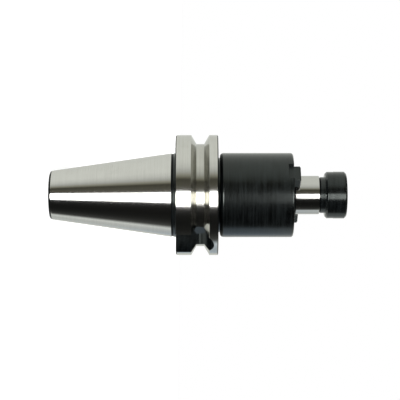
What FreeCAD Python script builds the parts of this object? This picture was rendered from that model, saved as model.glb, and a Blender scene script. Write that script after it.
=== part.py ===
import FreeCAD, Part
import math
import os

# Face mill arbor with a 7:24 taper shank, in millimetres.
# Z runs along the tool axis towards the nose, and 0 is the gauge plane of the taper.
# The two drive keys lie along X, and the two flange keyways lie along Y.

# Taper shank
gauge_d = 69.85
taper_rise, taper_run = 7, 24
taper_length = 101.8
small_end_round = 2.5
gauge_relief_start = -0.6
gauge_relief_width = 1.6
gauge_relief_depth = 0.6
gauge_land_d = 69.6

# Flange with its gripper groove and its two keyways
flange_d = 100.0
flange_gap = 3.0
flange_width = 35.0
flange_chamfer = 0.8
groove_centre = 23.2
groove_width = 15.0
groove_depth = 7.5
groove_flank_angle = 30.0
keyway_width = 25.7
keyway_floor = 35.3
keyway_length = 31.5

# Black front body, with a narrow neck behind it
gauge_length = 100.0
neck_depth = 4.0
neck_width = 1.5
body_d = 70.0
body_rear_round = 3.0
body_front_chamfer = 1.0

# Pilot that centres the cutter
pilot_d = 32.0
pilot_length = 22.0
pilot_chamfer = 0.5
pilot_relief_width = 2.2
pilot_relief_depth = 0.3

# Drawbar end: pull stud pilot, thread and core hole, with depths from the small end
stud_pilot_d = 25.0
stud_pilot_depth = 12.0
stud_thread_d = 24.0
stud_thread_depth = 45.0
stud_core_d = 21.0
stud_core_depth = 62.0
hole_mouth_chamfer = 1.0
drill_point_angle = 118.0

# Drive keys in their slots across the front face
key_width = 14.0
key_length = 12.5
key_height = 10.0
key_slot_depth = 4.5
key_outer_reach = 30.8
key_edge_chamfer = 0.8
slot_corner_round = 2.5
slot_corner_clearance = 0.5

# Socket head screws that hold the keys
key_screw_d = 5.0
key_screw_length = 16.0
key_screw_head_d = 8.5
key_screw_head_height = 5.0
key_screw_head_chamfer = 0.5
key_screw_socket = 4.0
key_screw_socket_depth = 2.5
key_counterbore_clearance = 0.5
key_hole_clearance = 0.25
key_screw_sunk = 0.5
key_tapping_margin = 2.5

# Lock screw that clamps the cutter on the pilot
lock_thread_d = 16.0
lock_thread_length = 30.0
lock_thread_chamfer = 1.5
lock_boss_d = 30.0
lock_boss_length = 4.7
lock_boss_chamfer = 1.0
lock_head_d = 39.0
lock_head_height = 17.6
lock_head_chamfer = 1.6
lock_seat_band_height = 6.5
lock_seat_band_step = 0.15
lock_socket = 14.0
lock_socket_depth = 9.0
lock_socket_mouth = 0.8
nose_thread_margin = 8.0

# Radial clearance of every screw in its tapped hole
thread_clearance = 0.05

# Places that follow from the sizes above
small_end = -taper_length
small_end_r = gauge_d / 2 - taper_length * taper_rise / taper_run / 2
relief_edge_r = gauge_d / 2 + gauge_relief_start * taper_rise / taper_run / 2
relief_end = gauge_relief_start + gauge_relief_width
flange_back = flange_gap
flange_front = flange_back + flange_width
body_back = flange_front + neck_width
front_face = gauge_length
pilot_end = front_face + pilot_length
key_centre = key_outer_reach - key_length / 2
key_top = front_face - key_slot_depth + key_height
key_screw_seat = key_top - key_screw_sunk - key_screw_head_height
lock_head_back = pilot_end + lock_boss_length
lock_head_front = lock_head_back + lock_head_height

# How far a cutting shape runs past the surface that it opens
overrun = 5.0


def turned(profile):
    """A solid turned about Z from (radius, height) points."""
    points = [FreeCAD.Vector(r, 0, z) for r, z in profile]
    face = Part.Face(Part.makePolygon(points + points[:1]))
    axis_point = FreeCAD.Vector(0, 0, 0)
    return face.revolve(axis_point, FreeCAD.Vector(0, 0, 1), 360)


def ring_edge(shape, radius, height):
    """The circular edge of a turned shape that has this radius and height."""
    for edge in shape.Edges:
        curve = edge.Curve
        if isinstance(curve, Part.Circle):
            if abs(curve.Radius - radius) + abs(curve.Center.z - height) < 1e-4:
                return edge
    raise ValueError("no edge of radius %.3f at height %.3f" % (radius, height))


def drill_point(radius):
    """How far the cone at the bottom of a drilled hole reaches."""
    return radius / math.tan(math.radians(drill_point_angle / 2))


def hexagonal_socket(across_flats, bottom, top):
    """A six-sided hole with a drilled cone at its bottom, its flats facing Y."""
    corner_r = across_flats / math.sqrt(3)
    corners = []
    for i in range(6):
        angle = math.radians(60 * i)
        corners.append(FreeCAD.Vector(corner_r * math.cos(angle), corner_r * math.sin(angle), bottom))
    prism = Part.Face(Part.makePolygon(corners + corners[:1])).extrude(FreeCAD.Vector(0, 0, top - bottom))
    r = across_flats / 2
    cone = turned([(0, bottom - drill_point(r)), (r, bottom), (0, bottom)])
    return prism.fuse(cone)


def shank_and_nose():
    """The turned outside of the arbor, from the small end to the tip of the pilot."""
    groove_half = groove_width / 2
    floor_half = groove_half - groove_depth * math.tan(math.radians(groove_flank_angle))
    relief_r = gauge_d / 2 - gauge_relief_depth
    flange_r = flange_d / 2
    groove_r = flange_r - groove_depth
    body_r = body_d / 2
    neck_r = body_r - neck_depth
    pilot_r = pilot_d / 2
    root_r = pilot_r - pilot_relief_depth
    outline = [(0, small_end), (small_end_r, small_end), (relief_edge_r, gauge_relief_start)]
    outline += [(relief_r, gauge_relief_start), (relief_r, relief_end)]
    outline += [(gauge_land_d / 2, relief_end), (gauge_land_d / 2, flange_back)]
    outline += [(flange_r - flange_chamfer, flange_back), (flange_r, flange_back + flange_chamfer)]
    outline += [(flange_r, groove_centre - groove_half), (groove_r, groove_centre - floor_half)]
    outline += [(groove_r, groove_centre + floor_half), (flange_r, groove_centre + groove_half)]
    outline += [(flange_r, flange_front - flange_chamfer), (flange_r - flange_chamfer, flange_front)]
    outline += [(neck_r, flange_front), (neck_r, body_back), (body_r, body_back)]
    outline += [(body_r, front_face - body_front_chamfer), (body_r - body_front_chamfer, front_face)]
    outline += [(root_r, front_face), (root_r, front_face + pilot_relief_width)]
    outline += [(pilot_r, front_face + pilot_relief_width), (pilot_r, pilot_end - pilot_chamfer)]
    outline += [(pilot_r - pilot_chamfer, pilot_end), (0, pilot_end)]
    blank = turned(outline)
    blank = blank.makeFillet(small_end_round, [ring_edge(blank, small_end_r, small_end)])
    return blank.makeFillet(body_rear_round, [ring_edge(blank, body_r, body_back)])


def drawbar_hole():
    """The stepped hole that opens at the small end, for the pull stud."""
    pilot_r = stud_pilot_d / 2
    thread_r = stud_thread_d / 2
    core_r = stud_core_d / 2
    mouth_r = pilot_r + hole_mouth_chamfer
    core_end = small_end + stud_core_depth
    outline = [(0, small_end - overrun), (mouth_r, small_end - overrun), (mouth_r, small_end)]
    outline += [(pilot_r, small_end + hole_mouth_chamfer), (pilot_r, small_end + stud_pilot_depth)]
    outline += [(thread_r, small_end + stud_pilot_depth), (thread_r, small_end + stud_thread_depth)]
    outline += [(core_r, small_end + stud_thread_depth), (core_r, core_end)]
    outline += [(0, core_end + drill_point(core_r))]
    return turned(outline)


def nose_hole():
    """The tapped hole in the pilot's end, for the lock screw."""
    r = lock_thread_d / 2 + thread_clearance
    bottom = pilot_end - lock_thread_length - nose_thread_margin
    mouth_r = r + hole_mouth_chamfer
    outline = [(0, bottom - drill_point(r)), (r, bottom), (r, pilot_end - hole_mouth_chamfer)]
    outline += [(mouth_r, pilot_end), (mouth_r, pilot_end + overrun), (0, pilot_end + overrun)]
    return turned(outline)


def flange_keyway():
    """The space of one keyway: open at the flange's rear face, round at its other end."""
    half = keyway_width / 2
    round_centre = flange_back + keyway_length - half
    rear = flange_back - overrun
    corners = [FreeCAD.Vector(x, keyway_floor, z) for x, z in
               ((-half, round_centre), (-half, rear), (half, rear), (half, round_centre))]
    tip = FreeCAD.Vector(0, keyway_floor, round_centre + half)
    sides = [Part.LineSegment(a, b).toShape() for a, b in zip(corners, corners[1:])]
    end = Part.Arc(corners[3], tip, corners[0]).toShape()
    reach = flange_d / 2 - keyway_floor + overrun
    return Part.Face(Part.Wire(sides + [end])).extrude(FreeCAD.Vector(0, reach, 0))


def upright_edges(shape, x):
    """The edges of a block that run along Z at this X."""
    found = []
    for edge in shape.Edges:
        a, b = edge.Vertexes[0].Point, edge.Vertexes[-1].Point
        if abs(a.x - x) + abs(b.x - x) < 1e-6 and abs(a.z - b.z) > 1e-6:
            found.append(edge)
    return found


def key_slot():
    """The slot of one drive key, open to the front face and to the body's side."""
    inner = key_outer_reach - key_length
    floor = front_face - key_slot_depth
    reach = body_d / 2 - inner + overrun
    corner = FreeCAD.Vector(inner, -key_width / 2, floor)
    block = Part.makeBox(reach, key_width, key_slot_depth + overrun, corner)
    slot = block.makeFillet(slot_corner_round, upright_edges(block, inner))
    r = key_screw_d / 2 + thread_clearance
    bottom = key_screw_seat - key_screw_length - key_tapping_margin
    hole = turned([(0, bottom - drill_point(r)), (r, bottom), (r, front_face), (0, front_face)])
    hole.translate(FreeCAD.Vector(key_centre, 0, 0))
    return slot.fuse(hole)


def half_turn(shape):
    """The same shape on the other side of the tool axis."""
    return shape.copy().rotate(FreeCAD.Vector(0, 0, 0), FreeCAD.Vector(0, 0, 1), 180)


def arbor_body():
    """The one-piece shank, flange, front body and pilot."""
    body = shank_and_nose().cut(drawbar_hole()).cut(nose_hole())
    for tool in (flange_keyway(), key_slot()):
        body = body.cut(tool).cut(half_turn(tool))
    return body


def drive_key():
    """One drive key with its counterbored screw hole."""
    floor = front_face - key_slot_depth
    inner = key_outer_reach - key_length
    corner = FreeCAD.Vector(inner, -key_width / 2, floor)
    block = Part.makeBox(key_length, key_width, key_height, corner)
    block = block.makeChamfer(slot_corner_round + slot_corner_clearance, upright_edges(block, inner))
    top_edges = [e for e in block.Edges if min(v.Point.z for v in e.Vertexes) > key_top - 1e-6]
    block = block.makeChamfer(key_edge_chamfer, top_edges)
    bore_r = key_screw_head_d / 2 + key_counterbore_clearance
    hole_r = key_screw_d / 2 + key_hole_clearance
    outline = [(0, floor - overrun), (hole_r, floor - overrun), (hole_r, key_screw_seat)]
    outline += [(bore_r, key_screw_seat), (bore_r, key_top + overrun), (0, key_top + overrun)]
    hole = turned(outline)
    hole.translate(FreeCAD.Vector(key_centre, 0, 0))
    return block.cut(hole)


def key_screw():
    """One socket head screw, seated in its drive key."""
    r = key_screw_d / 2
    head_r = key_screw_head_d / 2
    tip = key_screw_seat - key_screw_length
    top = key_screw_seat + key_screw_head_height
    tip_chamfer = key_screw_head_chamfer
    outline = [(0, tip), (r - tip_chamfer, tip), (r, tip + tip_chamfer), (r, key_screw_seat)]
    outline += [(head_r, key_screw_seat), (head_r, top - key_screw_head_chamfer)]
    outline += [(head_r - key_screw_head_chamfer, top), (0, top)]
    socket = hexagonal_socket(key_screw_socket, top - key_screw_socket_depth, top + overrun)
    screw = turned(outline).cut(socket)
    screw.translate(FreeCAD.Vector(key_centre, 0, 0))
    return screw


def lock_screw():
    """The large-headed screw in the nose, with a boss that seats on the pilot's end."""
    r = lock_thread_d / 2
    boss_r = lock_boss_d / 2
    head_r = lock_head_d / 2
    band_r = head_r - lock_seat_band_step
    band_front = lock_head_back + lock_seat_band_height
    tip = pilot_end - lock_thread_length
    outline = [(0, tip), (r - lock_thread_chamfer, tip), (r, tip + lock_thread_chamfer), (r, pilot_end)]
    outline += [(boss_r - lock_boss_chamfer, pilot_end), (boss_r, pilot_end + lock_boss_chamfer)]
    outline += [(boss_r, lock_head_back), (band_r - lock_head_chamfer, lock_head_back)]
    outline += [(band_r, lock_head_back + lock_head_chamfer), (band_r, band_front), (head_r, band_front)]
    outline += [(head_r, lock_head_front - lock_head_chamfer)]
    outline += [(head_r - lock_head_chamfer, lock_head_front), (0, lock_head_front)]
    socket = hexagonal_socket(lock_socket, lock_head_front - lock_socket_depth, lock_head_front + overrun)
    mouth_r = lock_socket / math.sqrt(3) + lock_socket_mouth
    mouth = turned([(0, lock_head_front - mouth_r), (mouth_r, lock_head_front), (0, lock_head_front)])
    return turned(outline).cut(socket).cut(mouth)


key = drive_key()
screw = key_screw()
nodes = {
    "arbor_body": arbor_body(),
    "drive_key_1": key,
    "drive_key_2": half_turn(key),
    "key_screw_1": screw,
    "key_screw_2": half_turn(screw),
    "lock_screw": lock_screw(),
}

os.makedirs("parts", exist_ok=True)
for name, shape in nodes.items():
    solid = shape.Solids[0]
    solid.exportStep("parts/%s.step" % name)
    print("%-12s solids %d  valid %s  %.2f cm3" % (name, len(shape.Solids), solid.isValid(), solid.Volume / 1000))
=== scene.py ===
import math

import bpy
from mathutils import Matrix, Vector


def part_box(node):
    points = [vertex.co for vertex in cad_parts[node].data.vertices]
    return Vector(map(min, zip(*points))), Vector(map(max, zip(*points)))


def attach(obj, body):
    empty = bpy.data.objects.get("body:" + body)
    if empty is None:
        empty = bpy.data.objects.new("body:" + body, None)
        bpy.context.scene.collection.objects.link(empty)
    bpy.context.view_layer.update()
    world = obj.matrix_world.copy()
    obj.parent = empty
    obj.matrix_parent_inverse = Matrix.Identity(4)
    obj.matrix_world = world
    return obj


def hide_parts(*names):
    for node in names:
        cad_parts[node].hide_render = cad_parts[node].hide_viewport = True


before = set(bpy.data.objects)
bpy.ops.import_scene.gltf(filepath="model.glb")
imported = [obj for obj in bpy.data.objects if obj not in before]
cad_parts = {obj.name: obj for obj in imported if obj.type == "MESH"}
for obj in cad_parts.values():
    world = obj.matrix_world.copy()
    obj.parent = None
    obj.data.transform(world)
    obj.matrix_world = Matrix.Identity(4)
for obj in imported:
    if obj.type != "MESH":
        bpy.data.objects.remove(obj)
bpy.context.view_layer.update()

# Lengths below are in millimetres, and MM turns them into the scene's metres.
# Z is the tool axis, 0 is the gauge plane, the drive keys lie along X and the keyways along Y.
MM = 0.001


def across(node, axis):
    """How wide a CAD node is along one axis, in millimetres."""
    low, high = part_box(node)
    return (high[axis] - low[axis]) / MM


def lowest(node):
    """Where a CAD node starts along the tool axis, in millimetres."""
    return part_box(node)[0].z / MM


def highest(node):
    """Where a CAD node ends along the tool axis, in millimetres."""
    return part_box(node)[1].z / MM


# Taper shank, with a dark rim at its small end: painted shade, in black oxide with a weak sheen
GAUGE_R = 69.85 / 2
TAPER_SLOPE = 7 / 24 / 2
SMALL_END = lowest("arbor_body")
SMALL_END_R = GAUGE_R + SMALL_END * TAPER_SLOPE
SMALL_END_ROUND = 2.5
GAUGE_RELIEF_R = GAUGE_R - 0.6
GAUGE_RELIEF_START = -0.6
GAUGE_RELIEF_END = 1.0
GAUGE_LAND_R = 69.6 / 2
BLACK_RIM = 1.7

# Flange, its gripper groove and its keyways
FLANGE_R = across("arbor_body", 1) / 2
FLANGE_BACK = 3.0
FLANGE_FRONT = 38.0
FLANGE_CHAMFER = 0.8
GROOVE_MIDDLE = 23.2
GROOVE_WIDTH = 15.0
GROOVE_DEPTH = 7.5
GROOVE_FLANK = math.radians(30)
KEYWAY_WIDTH = 25.7
KEYWAY_FLOOR = 35.3
KEYWAY_END = FLANGE_BACK + 31.5

# Black front body and the bright pilot
NECK_R = 31.0
BODY_BACK = 39.5
BODY_R = 35.0
BODY_REAR_ROUND = 3.0
FRONT_FACE = 100.0
BODY_CHAMFER = 1.0
PILOT_R = 16.0
PILOT_ROOT_R = 15.7
PILOT_ROOT_WIDTH = 2.2
PILOT_END = highest("arbor_body")
PILOT_CHAMFER = 0.5

# Drawbar hole in the small end
STUD_PILOT_R = 12.5
STUD_THREAD_R = 12.0
STUD_CORE_R = 10.5
STUD_PITCH = 3.0
STUD_PILOT_END = SMALL_END + 12
STUD_THREAD_END = SMALL_END + 45
STUD_CORE_END = SMALL_END + 62
MOUTH_CHAMFER = 1.0
DRILL_HALF_ANGLE = math.radians(59)

# Drive keys and their screws
KEY_WIDTH = across("drive_key_1", 1)
KEY_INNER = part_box("drive_key_1")[0].x / MM
KEY_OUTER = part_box("drive_key_1")[1].x / MM
KEY_MIDDLE = (KEY_INNER + KEY_OUTER) / 2
KEY_BOTTOM = lowest("drive_key_1")
KEY_TOP = highest("drive_key_1")
KEY_CHAMFER = 0.8
KEY_INNER_CHAMFER = 3.0
SLOT_ROUND = 2.5
KEY_SCREW_R = 2.5
KEY_SCREW_PITCH = 0.8
KEY_SCREW_HEAD_R = 8.5 / 2
KEY_SCREW_TOP = highest("key_screw_1")
KEY_SCREW_SEAT = KEY_SCREW_TOP - 5.0
KEY_SCREW_TIP = lowest("key_screw_1")
KEY_SCREW_HEAD_CHAMFER = 0.5
KEY_SCREW_HEAD_EDGE = 0.1
KEY_SCREW_CORE_CHAMFER = 0.2
KEY_SCREW_HOLE_BOTTOM = KEY_SCREW_TIP - 2.5
KEY_SCREW_SOCKET = 4.0
KEY_SCREW_SOCKET_DEPTH = 2.5
KEY_COUNTERBORE_R = KEY_SCREW_HEAD_R + 0.5
KEY_HOLE_R = KEY_SCREW_R + 0.25

# Lock screw
LOCK_R = 8.0
LOCK_PITCH = 2.0
LOCK_TIP = lowest("lock_screw")
LOCK_TOP = highest("lock_screw")
LOCK_TIP_CHAMFER = 1.5
LOCK_HEAD_R = across("lock_screw", 1) / 2
LOCK_HEAD_BACK = LOCK_TOP - 17.6
LOCK_HEAD_CHAMFER = 1.6
LOCK_BOSS_R = 15.0
LOCK_BOSS_CHAMFER = 1.0
LOCK_BAND_END = LOCK_HEAD_BACK + 6.5
LOCK_BAND_STEP = 0.15
LOCK_LINE_WIDTH = 0.45
LOCK_SOCKET = 14.0
LOCK_SOCKET_DEPTH = 9.0
LOCK_SOCKET_MOUTH = 0.8
LOCK_SOCKET_DRILLED = 1.0
NOSE_HOLE_BOTTOM = LOCK_TIP - 8.0

# Threads, as shares of the pitch: how high a ridge stands, and how wide its foot and its crest are
THREAD_HEIGHT = 0.6134
THREAD_FOOT = 0.93
THREAD_CREST = 0.125

# Threads, in millimetres: how deep the foot is sunk, the play in a hole, and how far a trimmer keeps clear
THREAD_SUNK = 0.1
THREAD_PLAY = 0.05
TRIM_CLEARANCE = 1.0

# How finely round things are turned
LATHE_STEPS = 288
SOCKET_STEPS = 96
THREAD_STEPS = 72
SMALL_PART_STEPS = 64
SMALL_HOLE_STEPS = 48

# How widely edges are broken, and into how many strips a round is divided
EDGE_BREAK = 0.18
EDGE_SEGMENTS = 3
BODY_EDGE_BREAK = 0.45
BODY_EDGE_SEGMENTS = 6
SMALL_EDGE_SEGMENTS = 2
ROUND_SEGMENTS = 12
SLOT_SEGMENTS = 8
KEYWAY_SEGMENTS = 40
SMOOTH_ANGLE = math.radians(40)

# The share of half its width by which a keyway's end is rounded, so that its two rounds don't meet
KEYWAY_ROUND_SHARE = 0.9999

# Points this near each other are in the same place, are welded, or span an edge of no length
SAME_PLACE = 0.01
WELDED = 0.002
NO_LENGTH = 0.001

# How far a cutter reaches beyond what it cuts
OVERRUN = 5.0


def deselect():
    """Clears the selection, which the CAD nodes start with."""
    bpy.ops.object.select_all(action="DESELECT")


def take(piece):
    """Makes one piece the only one that operators act on."""
    deselect()
    piece.select_set(True)
    bpy.context.view_layer.objects.active = piece


def named(name):
    """Names the primitive that was just added."""
    piece = bpy.context.object
    piece.name = name
    piece.data.name = name
    return piece


def settle(piece):
    """Puts the place and turn of a piece into its mesh."""
    take(piece)
    bpy.ops.object.transform_apply(location=True, rotation=True, scale=True)


def pick(piece, kind, test):
    """Selects the vertices or edges that pass a test, and stays in edit mode."""
    take(piece)
    bpy.ops.object.mode_set(mode="EDIT")
    bpy.ops.mesh.select_mode(type=kind)
    bpy.ops.mesh.select_all(action="DESELECT")
    bpy.ops.object.mode_set(mode="OBJECT")
    elements = {"VERT": piece.data.vertices, "EDGE": piece.data.edges}[kind]
    for element in elements:
        element.select = test(element)
    bpy.ops.object.mode_set(mode="EDIT")


def leave_edit():
    """Goes back to object mode."""
    bpy.ops.object.mode_set(mode="OBJECT")


def bevel(piece, test, width, segments=1):
    """Bevels the edges that pass a test."""
    pick(piece, "EDGE", test)
    bpy.ops.mesh.bevel(offset=width * MM, segments=segments, profile=0.5, affect="EDGES")
    leave_edit()


def radius_of(point):
    """How far a point is from the tool axis, in millimetres."""
    return math.hypot(point.x, point.y) / MM


def put_beside_axis(piece, distance):
    """Moves a piece that was turned on the tool axis out to its place along X."""
    piece.location.x = distance * MM
    settle(piece)


def turn(name, outline, steps=LATHE_STEPS):
    """Draws a half outline beside the tool axis, corner by corner, and spins it into a solid."""
    deselect()
    bpy.ops.mesh.primitive_plane_add(size=MM)
    piece = named(name)
    bpy.ops.object.mode_set(mode="EDIT")
    bpy.ops.mesh.select_mode(type="VERT")
    bpy.ops.mesh.merge(type="CENTER")
    corners = [Vector((radius, 0, height)) * MM for radius, height in outline]
    bpy.ops.transform.translate(value=corners[0])
    for here, there in zip(corners, corners[1:]):
        bpy.ops.mesh.extrude_vertices_move(TRANSFORM_OT_translate={"value": there - here})
    bpy.ops.mesh.select_all(action="SELECT")
    bpy.ops.mesh.spin(steps=steps, angle=2 * math.pi, center=(0, 0, 0), axis=(0, 0, 1))
    bpy.ops.mesh.select_all(action="SELECT")
    bpy.ops.mesh.remove_doubles(threshold=WELDED * MM)
    bpy.ops.mesh.normals_make_consistent(inside=False)
    leave_edit()
    return piece


def round_rings(piece, rings, width, segments):
    """Bevels the circular edges at these (radius, height) places."""
    points = piece.data.vertices

    def on_a_ring(edge):
        ends = [points[i].co for i in edge.vertices]
        for radius, height in rings:
            if all(abs(radius_of(p) - radius) + abs(p.z / MM - height) < SAME_PLACE for p in ends):
                return True
        return False

    bevel(piece, on_a_ring, width, segments)


def combine(piece, tool, operation="DIFFERENCE"):
    """Cuts a tool from a piece, or joins it to it, and clears the tool away."""
    take(piece)
    modifier = piece.modifiers.new("combine", "BOOLEAN")
    modifier.operation = operation
    modifier.solver = "MANIFOLD"
    modifier.object = tool
    bpy.ops.object.modifier_apply(modifier=modifier.name)
    bpy.data.objects.remove(tool)


def helix_ridge(name, radius, pitch, start, end, play=0.0):
    """A right-hand thread ridge as a solid of its own, swept round the tool axis."""
    height = THREAD_HEIGHT * pitch + THREAD_SUNK
    deselect()
    bpy.ops.mesh.primitive_plane_add(size=1, rotation=(math.pi / 2, 0, 0))
    ridge = named(name)
    ridge.scale = (height * MM, pitch * THREAD_FOOT * MM, 1)
    settle(ridge)
    outer = height / 2 * MM
    pick(ridge, "VERT", lambda point: point.co.x > 0)
    bpy.ops.transform.resize(value=(1, 1, THREAD_CREST / THREAD_FOOT))
    leave_edit()
    ridge.location = ((radius + play) * MM - outer, 0, start * MM)
    settle(ridge)
    sweep = ridge.modifiers.new("sweep", "SCREW")
    sweep.axis = "Z"
    sweep.angle = 2 * math.pi
    sweep.screw_offset = pitch * MM
    sweep.iterations = max(1, round((end - start) / pitch))
    sweep.steps = THREAD_STEPS
    sweep.render_steps = THREAD_STEPS
    sweep.use_merge_vertices = True
    sweep.merge_threshold = WELDED * MM
    bpy.ops.object.modifier_apply(modifier=sweep.name)
    bpy.ops.object.mode_set(mode="EDIT")
    bpy.ops.mesh.select_all(action="SELECT")
    bpy.ops.mesh.fill_holes(sides=4)
    bpy.ops.mesh.select_all(action="SELECT")
    bpy.ops.mesh.normals_make_consistent(inside=False)
    leave_edit()
    return ridge


def block(name, middle, size):
    """A block, with its middle and its edge lengths in metres."""
    deselect()
    bpy.ops.mesh.primitive_cube_add(size=1, location=middle, scale=size)
    piece = named(name)
    settle(piece)
    return piece


def hexagon_key(name, across_flats, bottom, top):
    """The shape of a hexagon key on the tool axis, with its flats facing Y, to cut a socket with."""
    deselect()
    depth = (top - bottom) * MM
    place = (0, 0, bottom * MM + depth / 2)
    corner_r = across_flats / math.sqrt(3) * MM
    bpy.ops.mesh.primitive_cylinder_add(
        vertices=6, radius=corner_r, depth=depth, location=place, rotation=(0, 0, math.pi / 6)
    )
    key = named(name)
    settle(key)
    return key


def drill_tip(radius):
    """How far the cone at the end of a drilled hole reaches."""
    return radius / math.tan(DRILL_HALF_ANGLE)


def clean(piece):
    """Takes out the edges of no length that cuts leave behind."""
    pick(piece, "VERT", lambda point: True)
    bpy.ops.mesh.dissolve_degenerate(threshold=NO_LENGTH * MM)
    leave_edit()


def smooth(piece):
    """Smooth shading that stays flat on flats and turns only over the broken edges."""
    take(piece)
    bpy.ops.object.shade_smooth_by_angle(angle=SMOOTH_ANGLE)
    weighted = piece.modifiers.new("weighted", "WEIGHTED_NORMAL")
    weighted.keep_sharp = True
    bpy.ops.object.modifier_apply(modifier=weighted.name)


# The arbor's one-piece body
def arbor_outline():
    """The half section of the arbor, from the bottom of one hole round to the bottom of the other."""
    half = GROOVE_WIDTH / 2
    floor_half = half - GROOVE_DEPTH * math.tan(GROOVE_FLANK)
    groove_r = FLANGE_R - GROOVE_DEPTH
    nose_r = LOCK_R - THREAD_HEIGHT * LOCK_PITCH + THREAD_PLAY * 2
    mouth_r = LOCK_R + MOUTH_CHAMFER
    corners = [(0, STUD_CORE_END + drill_tip(STUD_CORE_R)), (STUD_CORE_R, STUD_CORE_END)]
    corners += [(STUD_CORE_R, STUD_PILOT_END), (STUD_PILOT_R, STUD_PILOT_END)]
    corners += [(STUD_PILOT_R, SMALL_END + MOUTH_CHAMFER), (STUD_PILOT_R + MOUTH_CHAMFER, SMALL_END)]
    corners += [(SMALL_END_R, SMALL_END), (GAUGE_R + GAUGE_RELIEF_START * TAPER_SLOPE, GAUGE_RELIEF_START)]
    corners += [(GAUGE_RELIEF_R, GAUGE_RELIEF_START), (GAUGE_RELIEF_R, GAUGE_RELIEF_END)]
    corners += [(GAUGE_LAND_R, GAUGE_RELIEF_END), (GAUGE_LAND_R, FLANGE_BACK)]
    corners += [(FLANGE_R - FLANGE_CHAMFER, FLANGE_BACK), (FLANGE_R, FLANGE_BACK + FLANGE_CHAMFER)]
    corners += [(FLANGE_R, GROOVE_MIDDLE - half), (groove_r, GROOVE_MIDDLE - floor_half)]
    corners += [(groove_r, GROOVE_MIDDLE + floor_half), (FLANGE_R, GROOVE_MIDDLE + half)]
    corners += [(FLANGE_R, FLANGE_FRONT - FLANGE_CHAMFER), (FLANGE_R - FLANGE_CHAMFER, FLANGE_FRONT)]
    corners += [(NECK_R, FLANGE_FRONT), (NECK_R, BODY_BACK), (BODY_R, BODY_BACK)]
    corners += [(BODY_R, FRONT_FACE - BODY_CHAMFER), (BODY_R - BODY_CHAMFER, FRONT_FACE)]
    corners += [(PILOT_ROOT_R, FRONT_FACE), (PILOT_ROOT_R, FRONT_FACE + PILOT_ROOT_WIDTH)]
    corners += [(PILOT_R, FRONT_FACE + PILOT_ROOT_WIDTH), (PILOT_R, PILOT_END - PILOT_CHAMFER)]
    corners += [(PILOT_R - PILOT_CHAMFER, PILOT_END), (mouth_r, PILOT_END)]
    corners += [(nose_r, PILOT_END - (mouth_r - nose_r)), (nose_r, NOSE_HOLE_BOTTOM)]
    corners += [(0, NOSE_HOLE_BOTTOM - drill_tip(nose_r))]
    return corners


def keyway_cutter(side):
    """A milling cutter's path through the flange: a block with one round end."""
    length = (KEYWAY_END - FLANGE_BACK + OVERRUN) * MM
    depth = (FLANGE_R - KEYWAY_FLOOR + OVERRUN) * MM
    middle_y = side * (KEYWAY_FLOOR * MM + depth / 2)
    middle_z = KEYWAY_END * MM - length / 2
    cutter = block("keyway_cutter", (0, middle_y, middle_z), (KEYWAY_WIDTH * MM, depth, length))
    end = KEYWAY_END * MM - SAME_PLACE * MM
    points = cutter.data.vertices

    def along_y_at_the_end(edge):
        a, b = [points[i].co for i in edge.vertices]
        return min(a.z, b.z) > end and abs(a.x - b.x) < SAME_PLACE * MM

    bevel(cutter, along_y_at_the_end, KEYWAY_WIDTH / 2 * KEYWAY_ROUND_SHARE, KEYWAY_SEGMENTS)
    return cutter


def upright_and_inner(piece):
    """A test for the upright edges of a block beside the tool axis, on its inner side."""
    points = piece.data.vertices

    def test(edge):
        a, b = [points[i].co for i in edge.vertices]
        inner = max(abs(a.x), abs(b.x)) < (KEY_INNER + SAME_PLACE) * MM
        return inner and abs(a.y - b.y) < SAME_PLACE * MM

    return test


def key_slot_cutter(side):
    """The space that is milled for a drive key, open to the front and to the side."""
    reach = (BODY_R - KEY_INNER + OVERRUN) * MM
    depth = (FRONT_FACE - KEY_BOTTOM + OVERRUN) * MM
    middle = (side * (KEY_INNER * MM + reach / 2), 0, KEY_BOTTOM * MM + depth / 2)
    cutter = block("key_slot_cutter", middle, (reach, KEY_WIDTH * MM, depth))
    bevel(cutter, upright_and_inner(cutter), SLOT_ROUND, SLOT_SEGMENTS)
    return cutter


def key_screw_drill(side):
    """The tapped hole below a drive key."""
    bottom = KEY_SCREW_HOLE_BOTTOM
    r = KEY_SCREW_R + THREAD_PLAY
    outline = [(0, bottom - drill_tip(r)), (r, bottom), (r, FRONT_FACE), (0, FRONT_FACE)]
    drill = turn("key_screw_drill", outline, SMALL_HOLE_STEPS)
    put_beside_axis(drill, side * KEY_MIDDLE)
    return drill


def make_arbor():
    """The shank, flange, front body and pilot, with its holes, slots and threads."""
    outline = arbor_outline()
    arbor = turn("arbor", outline)
    large = {
        (SMALL_END_R, SMALL_END): (SMALL_END_ROUND, ROUND_SEGMENTS),
        (BODY_R, BODY_BACK): (BODY_REAR_ROUND, ROUND_SEGMENTS),
        (BODY_R, FRONT_FACE - BODY_CHAMFER): (BODY_EDGE_BREAK, BODY_EDGE_SEGMENTS),
    }
    small = [corner for corner in outline[2:-2] if corner not in large]
    round_rings(arbor, small, EDGE_BREAK, EDGE_SEGMENTS)
    for corner, (width, segments) in large.items():
        round_rings(arbor, [corner], width, segments)
    for side in (1, -1):
        combine(arbor, keyway_cutter(side))
        combine(arbor, key_slot_cutter(side))
        combine(arbor, key_screw_drill(side))
    stud_start = STUD_PILOT_END - STUD_PITCH
    combine(arbor, helix_ridge("stud_tap", STUD_THREAD_R, STUD_PITCH, stud_start, STUD_THREAD_END))
    nose_start = LOCK_TIP - LOCK_PITCH * 2
    nose_end = PILOT_END + LOCK_PITCH
    combine(arbor, helix_ridge("nose_tap", LOCK_R, LOCK_PITCH, nose_start, nose_end, THREAD_PLAY))
    return arbor


def half_turned_copy(piece, name):
    """The same piece on the other side of the tool axis, with a mesh of its own."""
    take(piece)
    bpy.ops.object.duplicate()
    copy = named(name)
    copy.rotation_euler.z = math.pi
    settle(copy)
    return copy


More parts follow.
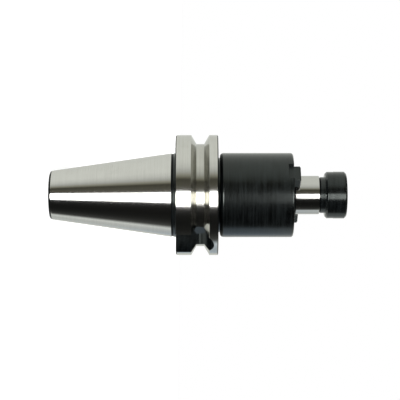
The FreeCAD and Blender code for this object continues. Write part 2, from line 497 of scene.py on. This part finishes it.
# The drive keys
def make_drive_key():
    """A hardened block with broken edges and a counterbored hole."""
    size = (KEY_OUTER - KEY_INNER, KEY_WIDTH, KEY_TOP - KEY_BOTTOM)
    middle = (KEY_MIDDLE * MM, 0, (KEY_TOP + KEY_BOTTOM) / 2 * MM)
    key = block("drive_key_1_block", middle, [length * MM for length in size])

    def on_top(edge):
        return min(key.data.vertices[i].co.z for i in edge.vertices) > (KEY_TOP - SAME_PLACE) * MM

    bevel(key, upright_and_inner(key), KEY_INNER_CHAMFER)
    bevel(key, on_top, KEY_CHAMFER)
    bevel(key, lambda edge: True, EDGE_BREAK, EDGE_SEGMENTS)
    outline = [(0, KEY_BOTTOM - OVERRUN), (KEY_HOLE_R, KEY_BOTTOM - OVERRUN), (KEY_HOLE_R, KEY_SCREW_SEAT)]
    outline += [(KEY_COUNTERBORE_R, KEY_SCREW_SEAT), (KEY_COUNTERBORE_R, KEY_TOP - EDGE_BREAK)]
    outline += [(KEY_COUNTERBORE_R + OVERRUN, KEY_TOP + OVERRUN - EDGE_BREAK), (0, KEY_TOP + OVERRUN)]
    counterbore = turn("counterbore", outline, SMALL_PART_STEPS)
    put_beside_axis(counterbore, KEY_MIDDLE)
    combine(key, counterbore)
    return key


def tip_trimmer(radius, chamfer, tip):
    """A ring that takes the thread off a screw's chamfered tip."""
    inner = radius - chamfer
    top = tip + chamfer + TRIM_CLEARANCE
    corners = [(inner, tip - OVERRUN), (inner, tip), (radius + TRIM_CLEARANCE, top)]
    corners += [(radius + OVERRUN, top), (radius + OVERRUN, tip - OVERRUN)]
    return turn("tip_trimmer", corners + corners[:1], THREAD_STEPS)


def make_key_screw():
    """A socket head screw, turned on the axis and then moved to its key."""
    core_r = KEY_SCREW_R - THREAD_HEIGHT * KEY_SCREW_PITCH
    tip_chamfer = KEY_SCREW_R - core_r + KEY_SCREW_CORE_CHAMFER
    chamfer = KEY_SCREW_HEAD_CHAMFER
    outline = [(0, KEY_SCREW_TIP), (KEY_SCREW_R - tip_chamfer, KEY_SCREW_TIP)]
    outline += [(core_r, KEY_SCREW_TIP + KEY_SCREW_CORE_CHAMFER), (core_r, KEY_SCREW_SEAT)]
    outline += [(KEY_SCREW_HEAD_R, KEY_SCREW_SEAT), (KEY_SCREW_HEAD_R, KEY_SCREW_TOP - chamfer)]
    outline += [(KEY_SCREW_HEAD_R - chamfer, KEY_SCREW_TOP), (0, KEY_SCREW_TOP)]
    screw = turn("key_screw_1_turned", outline, SMALL_PART_STEPS)
    round_rings(screw, outline[4:7], KEY_SCREW_HEAD_EDGE, SMALL_EDGE_SEGMENTS)
    start = KEY_SCREW_TIP - KEY_SCREW_PITCH
    end = KEY_SCREW_SEAT + KEY_SCREW_PITCH
    thread = helix_ridge("key_screw_thread", KEY_SCREW_R, KEY_SCREW_PITCH, start, end)
    combine(thread, tip_trimmer(KEY_SCREW_R, tip_chamfer, KEY_SCREW_TIP))
    combine(screw, thread, "UNION")
    bottom = KEY_SCREW_TOP - KEY_SCREW_SOCKET_DEPTH
    combine(screw, hexagon_key("key_screw_socket", KEY_SCREW_SOCKET, bottom, KEY_SCREW_TOP + OVERRUN))
    put_beside_axis(screw, KEY_MIDDLE)
    return screw


# The lock screw
def make_lock_screw():
    """The large-headed clamping screw, with its boss, thread and hexagon socket."""
    core_r = LOCK_R - THREAD_HEIGHT * LOCK_PITCH
    tip_r = LOCK_R - LOCK_TIP_CHAMFER
    band_r = LOCK_HEAD_R - LOCK_BAND_STEP
    line_r = band_r - LOCK_BAND_STEP
    line_end = LOCK_BAND_END + LOCK_LINE_WIDTH
    outline = [(0, LOCK_TIP), (tip_r, LOCK_TIP), (core_r, LOCK_TIP + core_r - tip_r), (core_r, PILOT_END)]
    outline += [(LOCK_BOSS_R - LOCK_BOSS_CHAMFER, PILOT_END), (LOCK_BOSS_R, PILOT_END + LOCK_BOSS_CHAMFER)]
    outline += [(LOCK_BOSS_R, LOCK_HEAD_BACK), (band_r - LOCK_HEAD_CHAMFER, LOCK_HEAD_BACK)]
    outline += [(band_r, LOCK_HEAD_BACK + LOCK_HEAD_CHAMFER), (band_r, LOCK_BAND_END)]
    outline += [(line_r, LOCK_BAND_END), (line_r, line_end)]
    outline += [(LOCK_HEAD_R, line_end), (LOCK_HEAD_R, LOCK_TOP - LOCK_HEAD_CHAMFER)]
    outline += [(LOCK_HEAD_R - LOCK_HEAD_CHAMFER, LOCK_TOP), (0, LOCK_TOP)]
    screw = turn("lock_screw_turned", outline)
    round_rings(screw, outline[4:10] + outline[12:15], EDGE_BREAK, EDGE_SEGMENTS)
    thread = helix_ridge("lock_thread", LOCK_R, LOCK_PITCH, LOCK_TIP - LOCK_PITCH, PILOT_END + LOCK_PITCH)
    combine(thread, tip_trimmer(LOCK_R, LOCK_TIP_CHAMFER, LOCK_TIP))
    combine(screw, thread, "UNION")
    bottom = LOCK_TOP - LOCK_SOCKET_DEPTH
    combine(screw, hexagon_key("lock_socket", LOCK_SOCKET, bottom, LOCK_TOP + OVERRUN))
    drill_r = LOCK_SOCKET / 2 - EDGE_BREAK
    drilled = [(0, bottom - drill_tip(drill_r)), (drill_r, bottom)]
    drilled += [(drill_r, bottom + LOCK_SOCKET_DRILLED), (0, bottom + LOCK_SOCKET_DRILLED)]
    combine(screw, turn("socket_drill", drilled, SOCKET_STEPS))
    mouth_r = LOCK_SOCKET / math.sqrt(3) + LOCK_SOCKET_MOUTH
    sink = [(0, LOCK_TOP - mouth_r), (mouth_r + OVERRUN, LOCK_TOP + OVERRUN), (0, LOCK_TOP + OVERRUN)]
    combine(screw, turn("socket_mouth", sink, SOCKET_STEPS))
    return screw


class Wire:
    """A shader socket that takes part in sums. Each operator adds its Math node."""

    def __init__(self, board, socket):
        self.board = board
        self.socket = socket

    def math(self, operation, first, second):
        """Adds one Math node."""
        return self.board.node("ShaderNodeMath", {"operation": operation}, {0: first, 1: second})

    def __add__(self, other):
        return self.math("ADD", self, other)

    def __radd__(self, other):
        return self.math("ADD", other, self)

    def __mul__(self, other):
        return self.math("MULTIPLY", self, other)

    def __rmul__(self, other):
        return self.math("MULTIPLY", other, self)

    def __truediv__(self, other):
        return self.math("DIVIDE", self, other)

    def __rtruediv__(self, other):
        return self.math("DIVIDE", other, self)


class Board:
    """The nodes of one material or world."""

    def __init__(self, tree):
        self.tree = tree
        tree.nodes.clear()

    def node(self, kind, settings=None, inputs=None, output=0):
        """Adds a node: its settings first, then the values or wires of its inputs."""
        made = self.tree.nodes.new(kind)
        for name, value in (settings or {}).items():
            if name == "stops":
                self.set_stops(made.color_ramp.elements, value)
            else:
                setattr(made, name, value)
        for name, value in (inputs or {}).items():
            if isinstance(value, Wire):
                self.tree.links.new(value.socket, made.inputs[name])
            else:
                made.inputs[name].default_value = value
        return Wire(self, made.outputs[output]) if made.outputs else None

    def set_stops(self, elements, stops):
        """Gives a ramp its stops, as (place, colour) pairs in rising order."""
        while len(elements) > 1:
            elements.remove(elements[-1])
        elements[0].position, elements[0].color = stops[0]
        for place, colour in stops[1:]:
            elements.new(place).color = colour

    def level(self, factor, stops):
        """A number that follows a factor through (place, number) stops."""
        greys = [(place, (number, number, number, 1)) for place, number in stops]
        return self.node("ShaderNodeValToRGB", {"stops": greys}, {"Fac": factor})

    def blend(self, factor, first, second, kind="MIX"):
        """Mixes two colours."""
        settings = {"data_type": "RGBA", "blend_type": kind}
        return self.node("ShaderNodeMix", settings, {0: factor, 6: first, 7: second}, 2)

    def noise(self, place, spread, detail=2.0):
        """Noise whose grains are spread[i] millimetres long along each axis."""
        stretch = [1 / (length * MM) for length in spread]
        stretched = self.node("ShaderNodeVectorMath", {"operation": "MULTIPLY"}, {0: place, 1: stretch})
        inputs = {"Vector": stretched, "Scale": 1.0, "Detail": detail}
        return self.node("ShaderNodeTexNoise", {"noise_dimensions": "3D"}, inputs, "Fac")


def material(name):
    """A new material, with its board and the place of each point on the object."""
    made = bpy.data.materials.new(name)
    made.use_nodes = True
    board = Board(made.node_tree)
    place = board.node("ShaderNodeTexCoord", output="Object")
    return made, board, place


def mixed(first, second, share):
    """Two layers as one: a share of the first, and the rest from the second."""
    return first * share + second * (1 - share)


def finish_material(board, constants, bump_height, bump_distance, colour, roughness):
    """Adds the shader: constants on its own sockets, colour, roughness and bump through wires."""
    bump_inputs = {"Strength": 1.0, "Distance": bump_distance * MM, "Height": bump_height}
    bump = board.node("ShaderNodeBump", inputs=bump_inputs)
    inputs = dict(constants)
    inputs.update({"Base Color": colour, "Roughness": roughness, "Normal": bump})
    shader = board.node("ShaderNodeBsdfPrincipled", inputs=inputs, output="BSDF")
    board.node("ShaderNodeOutputMaterial", inputs={"Surface": shader})


# How much red, green and blue light bare steel mirrors: where it is clean, where it is dull, and at a
# grazing angle. DULL_RANGE turns noise into dull patches
STEEL = (0.625, 0.618, 0.592)
STEEL_DULL = (0.55, 0.542, 0.515)
STEEL_EDGE = (0.84, 0.84, 0.84, 1)
DULL_RANGE = [(0.42, 0.0), (0.66, 1.0)]
DULL_ROUGHNESS = 0.03

# How much rougher a material is between its lines, and the quarter turn that lays a sheen along the axis
LINE_ROUGHNESS = 0.02
ALONG_AXIS = 0.25

# The layers of ground steel: how long its lines and patches are, how much further apart broad lines lie,
# how finely noise is broken up, and the share of the first layer where two are mixed
FINE_LINE_LENGTH = 25
BROAD_LINE_LENGTH = 60
BROAD_LINE_SPACING = 3
PATCH_SPREAD = (9, 9, 14)
BROAD_DETAIL = 3.0
PATCH_DETAIL = 4.0
FINE_LINE_SHARE = 0.75
PATCH_SHARE = 0.45


def ground_steel(name, brightness, roughness, along_axis, line_spacing, line_depth, mottling):
    """Bright steel with fine lines round the axis, as grinding or turning leaves them."""
    made, board, place = material(name)
    broad_spacing = line_spacing * BROAD_LINE_SPACING
    lines = board.noise(place, (FINE_LINE_LENGTH, FINE_LINE_LENGTH, line_spacing))
    broad = board.noise(place, (BROAD_LINE_LENGTH, BROAD_LINE_LENGTH, broad_spacing), BROAD_DETAIL)
    patches = board.noise(place, PATCH_SPREAD, PATCH_DETAIL)
    height = mixed(lines, broad, FINE_LINE_SHARE)
    dull = board.level(mixed(patches, broad, PATCH_SHARE), DULL_RANGE)
    clean_colour = [part * share for part, share in zip(STEEL, brightness)] + [1]
    dull_colour = [part * share for part, share in zip(STEEL_DULL, brightness)] + [1]
    colour = board.blend(dull * mottling, clean_colour, dull_colour)
    rough = roughness + dull * (mottling * DULL_ROUGHNESS) + lines * LINE_ROUGHNESS
    constants = {"Metallic": 1.0, "Specular Tint": STEEL_EDGE}
    constants.update({"Anisotropic": along_axis, "Anisotropic Rotation": ALONG_AXIS})
    finish_material(board, constants, height, line_depth, colour, rough)
    return made


# Black oxide: its darkest and palest colour, and the tint of its sheen. PALE_RANGE turns noise into pale
# streaks. Roughness starts a little below the value that is asked for, and rises in the streaks and lines
OXIDE = (0.0004, 0.0005, 0.0006, 1)
OXIDE_PALE = (0.0034, 0.0042, 0.0045, 1)
OXIDE_SHEEN = (0.91, 1.0, 0.95, 1)
PALE_RANGE = [(0.4, 0.0), (0.62, 1.0)]
BELOW_ROUGHNESS = 0.014
PALE_ROUGHNESS = 0.015

# The layers of black oxide, in the same way: lines and streaks, clouds and grain
OXIDE_LINE_LENGTH = 30
STREAK_SPACING = 5
CLOUD_SPREAD = (11, 11, 11)
GRAIN_SPREAD = (0.5, 0.5, 0.5)
CLOUD_DETAIL = 4.0
CLOUD_SHARE = 0.4
OXIDE_LINE_SHARE = 0.8


def black_oxide(name, roughness, line_spacing, line_depth, ior, round_axis):
    """Blackened steel: almost no colour of its own, and a sheen that spreads round the axis."""
    made, board, place = material(name)
    lines = board.noise(place, (OXIDE_LINE_LENGTH, OXIDE_LINE_LENGTH, line_spacing))
    clouds = board.noise(place, CLOUD_SPREAD, CLOUD_DETAIL)
    streaks = board.noise(place, (OXIDE_LINE_LENGTH, OXIDE_LINE_LENGTH, line_spacing * STREAK_SPACING))
    grain = board.noise(place, GRAIN_SPREAD)
    pale = board.level(mixed(clouds, streaks, CLOUD_SHARE), PALE_RANGE)
    colour = board.blend(pale, OXIDE, OXIDE_PALE)
    height = mixed(lines, grain, OXIDE_LINE_SHARE)
    rough = roughness - BELOW_ROUGHNESS + pale * PALE_ROUGHNESS + lines * LINE_ROUGHNESS
    constants = {"IOR": ior, "Specular Tint": OXIDE_SHEEN, "Anisotropic": round_axis}
    finish_material(board, constants, height, line_depth, colour, rough)
    return made


# Brightness, roughness, sheen along the axis, line spacing, line depth and mottling
taper_steel = ground_steel("taper_steel", (1, 1, 1), 0.11, 0.55, 0.22, 0.004, 0.5)
flange_steel = ground_steel("flange_steel", (0.96, 0.96, 0.95), 0.16, 0.85, 0.35, 0.012, 0.8)
groove_steel = ground_steel("groove_steel", (0.84, 0.84, 0.81), 0.14, 0.6, 0.50, 0.006, 0.8)
pilot_steel = ground_steel("pilot_steel", (0.88, 0.88, 0.88), 0.11, 0.55, 0.20, 0.004, 0.3)

# Roughness, line spacing, line depth, index of refraction and sheen round the axis
body_oxide = black_oxide("body_oxide", 0.165, 0.30, 0.0015, 1.5, 0.8)
# Painted shade: black oxide whose weak sheen darkens the relief groove, the pilot root and the dark rims
painted_shade_oxide = black_oxide("painted_shade_oxide", 0.40, 0.30, 0.004, 1.15, 0.0)
keyway_oxide = black_oxide("keyway_oxide", 0.15, 0.60, 0.004, 1.5, 0.0)
screw_oxide = black_oxide("screw_oxide", 0.16, 0.25, 0.004, 1.5, 0.4)
key_oxide = black_oxide("key_oxide", 0.36, 0.60, 0.006, 1.5, 0.0)

# How far from a surface the middle of one of its faces may be. Faces deeper than HOLE_WALL belong to a hole,
# and faces further in than FLANGE_INNER_R aren't the flange's rim
FLAT_SKIN = 0.02
SIDE_SKIN = 0.03
BACK_SKIN = 0.05
ROUND_SKIN = 0.1
HOLE_WALL = 1.0
FLANGE_INNER_R = NECK_R + 5


def in_keyway(x, y, z):
    """True for a point on the walls or floor of a keyway."""
    half = KEYWAY_WIDTH / 2 + SIDE_SKIN
    round_middle = KEYWAY_END - KEYWAY_WIDTH / 2
    inside = abs(x) < half if z < round_middle else math.hypot(x, z - round_middle) < half
    return inside and abs(y) > KEYWAY_FLOOR - ROUND_SKIN and z > FLANGE_BACK + BACK_SKIN


def arbor_finish(x, y, z):
    """Which finish the arbor's body has at a point. The recess finish is black oxide with painted shade."""
    r = math.hypot(x, y)
    relief_back = GAUGE_RELIEF_START + SAME_PLACE
    pilot_start = FRONT_FACE + PILOT_ROOT_WIDTH
    on_nose = r > PILOT_ROOT_R - HOLE_WALL
    between_chamfers = FLANGE_BACK + FLANGE_CHAMFER < z < FLANGE_FRONT - FLANGE_CHAMFER
    if SMALL_END + BLACK_RIM < z < relief_back and r > SMALL_END_R - SMALL_END_ROUND:
        return "taper"
    # Painted shade: the chamfered rims of the flange, the small end's rim, the relief groove and the pilot
    # root take the recess finish, black oxide whose weak sheen is painted shade
    on_rim = r > FLANGE_R - FLANGE_CHAMFER and not between_chamfers
    on_rim = on_rim or z < SMALL_END + BLACK_RIM
    in_relief = relief_back < z < GAUGE_RELIEF_END - SAME_PLACE and r > GAUGE_RELIEF_R - HOLE_WALL
    at_pilot_root = FRONT_FACE < z < pilot_start and r < PILOT_ROOT_R + ROUND_SKIN and on_nose
    if on_rim or in_relief or at_pilot_root:
        return "recess"
    if in_keyway(x, y, z):
        return "keyway"
    if between_chamfers and r > FLANGE_INNER_R:
        in_groove = abs(z - GROOVE_MIDDLE) < GROOVE_WIDTH / 2 and r < FLANGE_R - EDGE_BREAK
        return "groove" if in_groove else "flange"
    if pilot_start - ROUND_SKIN < z < PILOT_END and on_nose:
        return "pilot"
    on_seat = abs(z - FRONT_FACE) < FLAT_SKIN and PILOT_R < r < BODY_R - BODY_CHAMFER
    return "pilot" if on_seat else "black"


def paint_faces(piece, materials, finish):
    """Gives each face the material that finish(x, y, z) names for its middle."""
    names = list(materials)
    piece.data.materials.clear()
    for made in materials.values():
        piece.data.materials.append(made)
    for face in piece.data.polygons:
        middle = face.center / MM
        face.material_index = names.index(finish(middle.x, middle.y, middle.z))


def paint(piece, made):
    """One material all over."""
    piece.data.materials.clear()
    piece.data.materials.append(made)


arbor = make_arbor()
arbor_materials = {
    "taper": taper_steel,
    "flange": flange_steel,
    "groove": groove_steel,
    "pilot": pilot_steel,
    "black": body_oxide,
    "recess": painted_shade_oxide,
    "keyway": keyway_oxide,
}
paint_faces(arbor, arbor_materials, arbor_finish)
lock_screw = make_lock_screw()
paint(lock_screw, screw_oxide)
key = make_drive_key()
paint(key, key_oxide)
key_screw = make_key_screw()
paint(key_screw, screw_oxide)
for piece in (arbor, lock_screw, key, key_screw):
    clean(piece)
    smooth(piece)
placed = [
    (arbor, "arbor_body", "ground_steel", "arbor"),
    (lock_screw, "lock_screw", "black_screw", "screw"),
    (key, "drive_key_1", "black_key", "arbor"),
    (half_turned_copy(key, "drive_key_2_block"), "drive_key_2", "black_key", "arbor"),
    (key_screw, "key_screw_1", "black_screw", "arbor"),
    (half_turned_copy(key_screw, "key_screw_2_turned"), "key_screw_2", "black_screw", "arbor"),
]
for piece, node, slot, body in placed:
    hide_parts(node)
    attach(piece, body)

# The view: the arbor stands upright, and the camera is rolled so that it lies level in the picture
VIEW_TURN = math.radians(35)
VIEW_DISTANCE = 1213.0
VIEW_HEIGHT = 23.0
VIEW_DROP = 4.12
LENS = 131.0
SENSOR = 36.0
NEAREST_SEEN = 0.05
FURTHEST_SEEN = 50
TO_CAMERA = Vector((math.cos(VIEW_TURN), math.sin(VIEW_TURN), 0))
PICTURE_RIGHT = Vector((0, 0, 1))
PICTURE_UP = TO_CAMERA.cross(PICTURE_RIGHT)


def make_camera():
    """A long lens, level with the flange and rolled a quarter turn."""
    lens = bpy.data.cameras.new("camera")
    lens.lens = LENS
    lens.sensor_width = SENSOR
    lens.clip_start = NEAREST_SEEN
    lens.clip_end = FURTHEST_SEEN
    camera = bpy.data.objects.new("camera", lens)
    bpy.context.scene.collection.objects.link(camera)
    place = (TO_CAMERA * VIEW_DISTANCE + PICTURE_RIGHT * VIEW_HEIGHT - PICTURE_UP * VIEW_DROP) * MM
    turned = Matrix((PICTURE_RIGHT, PICTURE_UP, TO_CAMERA)).transposed().to_4x4()
    camera.matrix_world = Matrix.Translation(place) @ turned
    bpy.context.scene.camera = camera


# What surrounds the arbor. ROUND is the angle round the tool axis: 0 is behind the camera and 90 is at the
# picture's top. ALONG is the angle along the axis: 90 is straight towards the nose.
WALL = (0.86, 0.885, 0.835)
WALL_ROUND = [(-180, 0.95), (-150, 0.95), (-138, 0.88), (-129, 0.82), (-118, 0.86), (-107, 1.05)]
WALL_ROUND += [(-101, 0.5), (-96, 0.1), (-90, 0.06), (-80, 0.03), (-70, 0.018), (-55, 0.012), (8, 0.012)]
WALL_ROUND += [(10, 0.095), (24, 0.095), (30, 0.065), (37, 0.36), (45, 0.64), (55, 0.88), (70, 1.02)]
WALL_ROUND += [(180, 1.0)]
GAP_ROUND = [(8, 0.0), (11, 1.0), (32, 1.0), (45, 0.0)]
GAP_TINT = (1.06, 1.0, 0.80, 1)
WINDOW_ROUND = [(-152, 0.0), (-143, 1.0), (-100, 1.0), (-92, 0.0)]
WINDOW_ALONG = [(-40, 0.05), (-11, 0.15), (-4, 1.0), (2.8, 1.0), (4, 0.25), (12, 0.0)]
WINDOW_TINT = (0.69, 0.79, 0.97, 1)
ROOM_ALONG = [(-90, 0.3), (-75, 0.3), (-62, 1.0), (24, 1.0), (34, 0.5), (44, 0.15), (60, 0.15)]
ROOM_ALONG += [(68, 0.3), (90, 0.3)]
LAMP_ROUND = [(-21.6, 0.0), (-19.4, 1.0), (4.6, 1.0), (6.8, 0.0)]
LAMP_ALONG = [(-75, 0.0), (-66, 0.1), (-57, 0.12), (-45, 0.6), (-30, 1.0), (-24, 0.5), (-16, 0.45)]
LAMP_ALONG += [(-11, 1.8), (-7, 2.6), (-5, 0.5), (-2, 0.02), (0, 0.008), (2.2, 0.008), (3.5, 0.03)]
LAMP_ALONG += [(4.5, 0.12), (5.2, 0.3), (6, 0.5), (12, 0.45), (22, 0.5), (30, 1.0), (45, 0.6)]
LAMP_ALONG += [(57, 0.12), (66, 0.1), (75, 0.0)]
LAMP_STRENGTH = 14.0
WHITE = (1, 1, 1, 1)


def make_studio():
    """White to the camera. What the metal mirrors is a soft lamp and pale and dark walls."""
    world = bpy.data.worlds.new("studio")
    bpy.context.scene.world = world
    world.use_nodes = True
    board = Board(world.node_tree)
    direction = board.node("ShaderNodeTexCoord", output="Generated")

    def toward(axis):
        inputs = {0: direction, 1: axis}
        return board.node("ShaderNodeVectorMath", {"operation": "DOT_PRODUCT"}, inputs, "Value")

    sides = {0: toward(PICTURE_UP), 1: toward(TO_CAMERA)}
    angle = board.node("ShaderNodeMath", {"operation": "ARCTAN2"}, sides)
    rise = board.node("ShaderNodeMath", {"operation": "ARCSINE"}, {0: toward(PICTURE_RIGHT)})
    turn_share = angle / (2 * math.pi) + 0.5
    rise_share = rise / math.pi + 0.5

    def by_round(stops):
        return board.level(turn_share, [((degrees + 180) / 360, level) for degrees, level in stops])

    def by_along(stops):
        return board.level(rise_share, [((degrees + 90) / 180, level) for degrees, level in stops])

    light = by_round(WALL_ROUND) * by_along(ROOM_ALONG)
    walls = board.node("ShaderNodeVectorMath", {"operation": "SCALE"}, {0: WALL, "Scale": light})
    walls = board.blend(by_round(GAP_ROUND), walls, GAP_TINT, "MULTIPLY")
    walls = board.blend(by_round(WINDOW_ROUND) * by_along(WINDOW_ALONG), walls, WINDOW_TINT, "MULTIPLY")
    lamp = by_round(LAMP_ROUND) * by_along(LAMP_ALONG) * LAMP_STRENGTH
    room = board.node("ShaderNodeVectorMath", {"operation": "ADD"}, {0: walls, 1: lamp})
    camera_ray = board.node("ShaderNodeLightPath", output="Is Camera Ray")
    seen = board.blend(camera_ray, room, WHITE)
    background = board.node("ShaderNodeBackground", inputs={"Color": seen, "Strength": 1.0})
    board.node("ShaderNodeOutputWorld", inputs={"Surface": background})


# The floor: its size in metres, its two whites and their spread in millimetres, and how much it glows
FLOOR_SIZE = 12
FLOOR_WHITES = (0.80, 0.80, 0.80, 1), (0.82, 0.82, 0.82, 1)
FLOOR_SPREAD = (40, 40, 40)
FLOOR_GLOW = 0.75


def make_floor():
    """A white floor that keeps a soft shadow. The metal looks through it at the room."""
    deselect()
    bpy.ops.mesh.primitive_plane_add(size=FLOOR_SIZE, location=(0, 0, SMALL_END * MM))
    floor = named("floor")
    made, board, place = material("floor_white")
    white = board.blend(board.noise(place, FLOOR_SPREAD), *FLOOR_WHITES)
    inputs = {"Base Color": white, "Roughness": 1.0}
    inputs.update({"Emission Color": WHITE, "Emission Strength": FLOOR_GLOW})
    shader = board.node("ShaderNodeBsdfPrincipled", inputs=inputs, output="BSDF")
    board.node("ShaderNodeOutputMaterial", inputs={"Surface": shader})
    floor.data.materials.append(made)
    floor.visible_glossy = False
    floor.visible_shadow = False


make_camera()
make_studio()
make_floor()
bpy.context.scene.view_settings.view_transform = "Standard"
